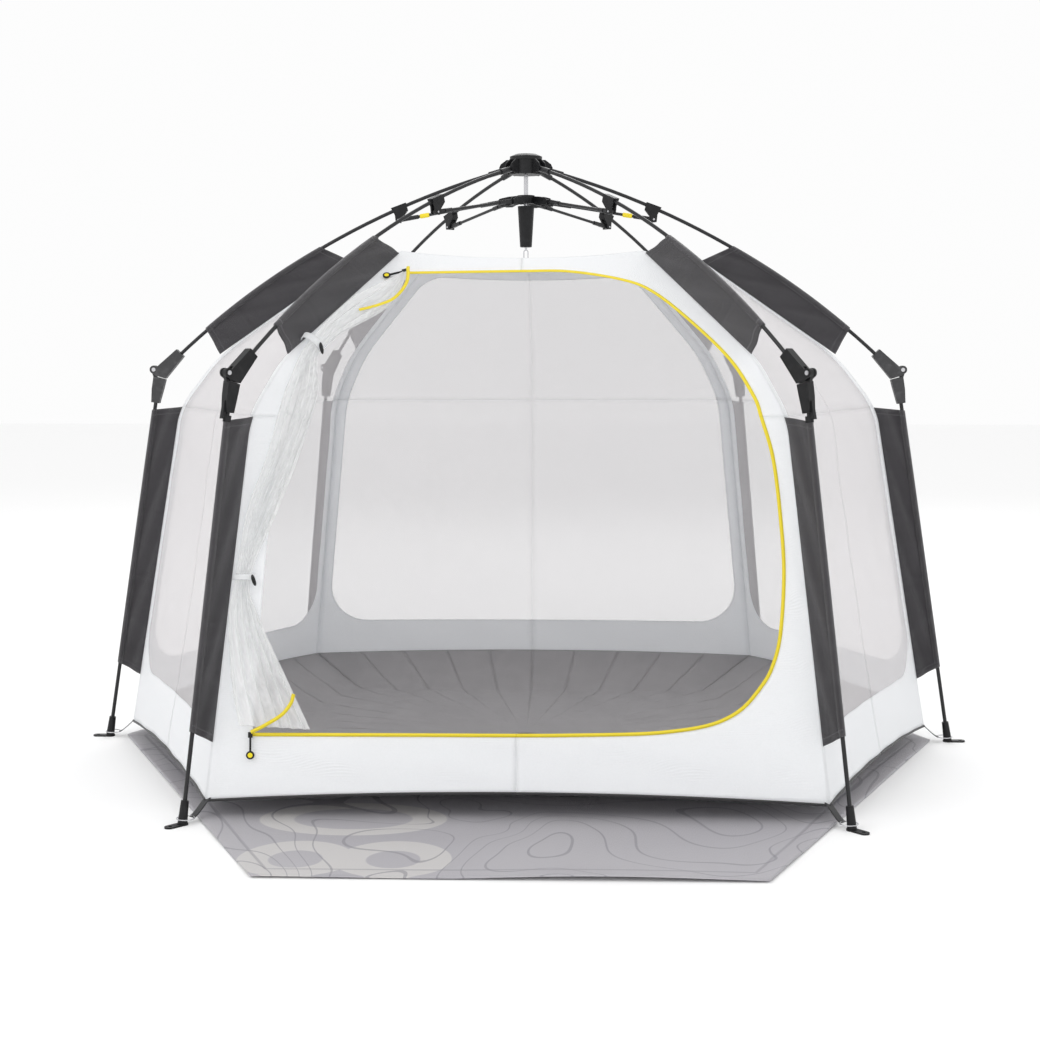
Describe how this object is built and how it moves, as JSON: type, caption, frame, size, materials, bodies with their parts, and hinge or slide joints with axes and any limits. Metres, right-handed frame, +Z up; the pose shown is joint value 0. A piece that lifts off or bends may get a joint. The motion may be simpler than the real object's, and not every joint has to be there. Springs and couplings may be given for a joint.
{
  "type": "pop-up hub tent",
  "caption": "Pop-up hub tent: six folding poles on a sliding hub hold a mesh body with a zipped door over a ground mat.",
  "frame": {"origin": "on the ground under the hub, at the underside of the mat", "axes": "+Z up, -Y towards the door and the porch, +X to the right seen from the door side"},
  "size_m": [2.288, 2.0725, 1.509],
  "materials": {
    "printed_mat": "coated weave",
    "floor_fabric": "satin coated weave",
    "mesh_fabric": "fine mesh",
    "white_fabric": "fine weave",
    "charcoal_fabric": "satin weave",
    "yellow_tape": "coil zip",
    "black_webbing": "ribbed webbing",
    "black_plastic": "moulded satin",
    "black_fibreglass": "pultruded satin",
    "bright_steel": "bright"
  },
  "bodies": {
    "root": {"ground_mat": "printed_mat", "tent_floor": "floor_fabric", "tent_walls": "mesh_fabric", "tent_front": "white_fabric", "tent_roof": "white_fabric", "corner_wings": "charcoal_fabric", "door_curtain": "mesh_fabric", "door_zip": "yellow_tape", "curtain_ties": "white_fabric", "corner_straps": "black_webbing"},
    "hub": {"hub_body": "black_plastic", "hub_cap": "black_plastic", "centre_rod": "bright_steel"},
    "runner": {"runner": "black_plastic", "runner_handle": "black_plastic"},
    "pull_loop": {"pull_loop": "bright_steel"},
    "rib_right": {"upper_pole_right": "black_fibreglass", "strut_bracket_right": "black_plastic", "knee_upper_right": "black_plastic"},
    "leg_right": {"knee_lower_right": "black_plastic", "lower_pole_right": "black_fibreglass", "foot_right": "black_plastic"},
    "strut_right": {"strut_right": "black_fibreglass"},
    "rib_rear_right": {"upper_pole_rear_right": "black_fibreglass", "strut_bracket_rear_right": "black_plastic", "knee_upper_rear_right": "black_plastic"},
    "leg_rear_right": {"knee_lower_rear_right": "black_plastic", "lower_pole_rear_right": "black_fibreglass", "foot_rear_right": "black_plastic"},
    "strut_rear_right": {"strut_rear_right": "black_fibreglass"},
    "rib_rear_left": {"upper_pole_rear_left": "black_fibreglass", "strut_bracket_rear_left": "black_plastic", "knee_upper_rear_left": "black_plastic"},
    "leg_rear_left": {"knee_lower_rear_left": "black_plastic", "lower_pole_rear_left": "black_fibreglass", "foot_rear_left": "black_plastic"},
    "strut_rear_left": {"strut_rear_left": "black_fibreglass"},
    "rib_left": {"upper_pole_left": "black_fibreglass", "strut_bracket_left": "black_plastic", "knee_upper_left": "black_plastic"},
    "leg_left": {"knee_lower_left": "black_plastic", "lower_pole_left": "black_fibreglass", "foot_left": "black_plastic"},
    "strut_left": {"strut_left": "black_fibreglass"},
    "rib_front_left": {"upper_pole_front_left": "black_fibreglass", "strut_bracket_front_left": "black_plastic", "knee_upper_front_left": "black_plastic"},
    "leg_front_left": {"knee_lower_front_left": "black_plastic", "lower_pole_front_left": "black_fibreglass", "foot_front_left": "black_plastic"},
    "strut_front_left": {"strut_front_left": "black_fibreglass"},
    "rib_front_right": {"upper_pole_front_right": "black_fibreglass", "strut_bracket_front_right": "black_plastic", "knee_upper_front_right": "black_plastic"},
    "leg_front_right": {"knee_lower_front_right": "black_plastic", "lower_pole_front_right": "black_fibreglass", "foot_front_right": "black_plastic"},
    "strut_front_right": {"strut_front_right": "black_fibreglass"},
    "zip_pull_top": {"zip_pull_top": "black_plastic"},
    "zip_pull_bottom": {"zip_pull_bottom": "black_plastic"}
  },
  "joints": [
    {"name": "frame_fold", "type": "slide", "parent": "root", "child": "hub", "axis": [0, 0, -1], "range_m": [0, 0.36], "deforming": ["ground_mat", "tent_floor", "tent_walls", "tent_front", "tent_roof", "corner_wings", "door_curtain", "door_zip", "curtain_ties", "corner_straps"]},
    {"name": "runner_slide", "type": "slide", "parent": "hub", "child": "runner", "axis": [0, 0, 1], "range_m": [0, 0.04756]},
    {"name": "pull_loop_slide", "type": "slide", "parent": "runner", "child": "pull_loop", "axis": [0, 0, -1], "range_m": [0, 0.006], "stiffness_N_per_m": 400, "springref_m": -0.002},
    {"name": "rib_fold_right", "type": "hinge", "parent": "hub", "child": "rib_right", "pos_m": [0.052, 0, 1.47], "axis": [0, 1, 0], "range_deg": [0, 57]},
    {"name": "knee_fold_right", "type": "hinge", "parent": "rib_right", "child": "leg_right", "pos_m": [0.961, 0, 0.965], "axis": [0, -1, 0], "range_deg": [0, 218.4]},
    {"name": "strut_turn_right", "type": "hinge", "parent": "rib_right", "child": "strut_right", "pos_m": [0.325, 0, 1.345], "axis": [0, 1, 0], "range_deg": [0, 16.73]},
    {"name": "rib_fold_rear_right", "type": "hinge", "parent": "hub", "child": "rib_rear_right", "pos_m": [0.03377, 0.03954, 1.47], "axis": [-0.7604, 0.6494, 0], "range_deg": [0, 57]},
    {"name": "knee_fold_rear_right", "type": "hinge", "parent": "rib_rear_right", "child": "leg_rear_right", "pos_m": [0.62412, 0.73075, 0.965], "axis": [0.7604, -0.6494, 0], "range_deg": [0, 218.4]},
    {"name": "strut_turn_rear_right", "type": "hinge", "parent": "rib_rear_right", "child": "strut_rear_right", "pos_m": [0.21107, 0.24713, 1.345], "axis": [-0.7604, 0.6494, 0], "range_deg": [0, 16.73]},
    {"name": "rib_fold_rear_left", "type": "hinge", "parent": "hub", "child": "rib_rear_left", "pos_m": [-0.03377, 0.03954, 1.47], "axis": [-0.7604, -0.6494, 0], "range_deg": [0, 57]},
    {"name": "knee_fold_rear_left", "type": "hinge", "parent": "rib_rear_left", "child": "leg_rear_left", "pos_m": [-0.62412, 0.73075, 0.965], "axis": [0.7604, 0.6494, 0], "range_deg": [0, 218.4]},
    {"name": "strut_turn_rear_left", "type": "hinge", "parent": "rib_rear_left", "child": "strut_rear_left", "pos_m": [-0.21107, 0.24713, 1.345], "axis": [-0.7604, -0.6494, 0], "range_deg": [0, 16.73]},
    {"name": "rib_fold_left", "type": "hinge", "parent": "hub", "child": "rib_left", "pos_m": [-0.052, 0, 1.47], "axis": [0, -1, 0], "range_deg": [0, 57]},
    {"name": "knee_fold_left", "type": "hinge", "parent": "rib_left", "child": "leg_left", "pos_m": [-0.961, 0, 0.965], "axis": [0, 1, 0], "range_deg": [0, 218.4]},
    {"name": "strut_turn_left", "type": "hinge", "parent": "rib_left", "child": "strut_left", "pos_m": [-0.325, 0, 1.345], "axis": [0, -1, 0], "range_deg": [0, 16.73]},
    {"name": "rib_fold_front_left", "type": "hinge", "parent": "hub", "child": "rib_front_left", "pos_m": [-0.03377, -0.03954, 1.47], "axis": [0.7604, -0.6494, 0], "range_deg": [0, 57]},
    {"name": "knee_fold_front_left", "type": "hinge", "parent": "rib_front_left", "child": "leg_front_left", "pos_m": [-0.62412, -0.73075, 0.965], "axis": [-0.7604, 0.6494, 0], "range_deg": [0, 218.4]},
    {"name": "strut_turn_front_left", "type": "hinge", "parent": "rib_front_left", "child": "strut_front_left", "pos_m": [-0.21107, -0.24713, 1.345], "axis": [0.7604, -0.6494, 0], "range_deg": [0, 16.73]},
    {"name": "rib_fold_front_right", "type": "hinge", "parent": "hub", "child": "rib_front_right", "pos_m": [0.03377, -0.03954, 1.47], "axis": [0.7604, 0.6494, 0], "range_deg": [0, 57]},
    {"name": "knee_fold_front_right", "type": "hinge", "parent": "rib_front_right", "child": "leg_front_right", "pos_m": [0.62412, -0.73075, 0.965], "axis": [-0.7604, -0.6494, 0], "range_deg": [0, 218.4]},
    {"name": "strut_turn_front_right", "type": "hinge", "parent": "rib_front_right", "child": "strut_front_right", "pos_m": [0.21107, -0.24713, 1.345], "axis": [0.7604, 0.6494, 0], "range_deg": [0, 16.73]},
    {"name": "zip_pull_top_swing", "type": "hinge", "parent": "rib_front_left", "child": "zip_pull_top", "pos_m": [-0.271, -0.39896, 1.19718], "axis": [-0.342, 0.6949, 0.6325], "range_deg": [0, 70]},
    {"name": "zip_pull_bottom_swing", "type": "hinge", "parent": "leg_front_left", "child": "zip_pull_bottom", "pos_m": [-0.576, -0.77733, 0.18389], "axis": [-1, 0, 0], "range_deg": [0, 80]}
  ],
  "couplings": [
    {"joint": "runner_slide", "follows": "frame_fold", "ratio": 0.1321},
    {"joint": "rib_fold_right", "follows": "frame_fold", "rad_per_m": 2.7634},
    {"joint": "knee_fold_right", "follows": "frame_fold", "rad_per_m": 10.588},
    {"joint": "strut_turn_right", "follows": "frame_fold", "rad_per_m": 0.81101},
    {"joint": "rib_fold_rear_right", "follows": "frame_fold", "rad_per_m": 2.7634},
    {"joint": "knee_fold_rear_right", "follows": "frame_fold", "rad_per_m": 10.588},
    {"joint": "strut_turn_rear_right", "follows": "frame_fold", "rad_per_m": 0.81101},
    {"joint": "rib_fold_rear_left", "follows": "frame_fold", "rad_per_m": 2.7634},
    {"joint": "knee_fold_rear_left", "follows": "frame_fold", "rad_per_m": 10.588},
    {"joint": "strut_turn_rear_left", "follows": "frame_fold", "rad_per_m": 0.81101},
    {"joint": "rib_fold_left", "follows": "frame_fold", "rad_per_m": 2.7634},
    {"joint": "knee_fold_left", "follows": "frame_fold", "rad_per_m": 10.588},
    {"joint": "strut_turn_left", "follows": "frame_fold", "rad_per_m": 0.81101},
    {"joint": "rib_fold_front_left", "follows": "frame_fold", "rad_per_m": 2.7634},
    {"joint": "knee_fold_front_left", "follows": "frame_fold", "rad_per_m": 10.588},
    {"joint": "strut_turn_front_left", "follows": "frame_fold", "rad_per_m": 0.81101},
    {"joint": "rib_fold_front_right", "follows": "frame_fold", "rad_per_m": 2.7634},
    {"joint": "knee_fold_front_right", "follows": "frame_fold", "rad_per_m": 10.588},
    {"joint": "strut_turn_front_right", "follows": "frame_fold", "rad_per_m": 0.81101}
  ]
}
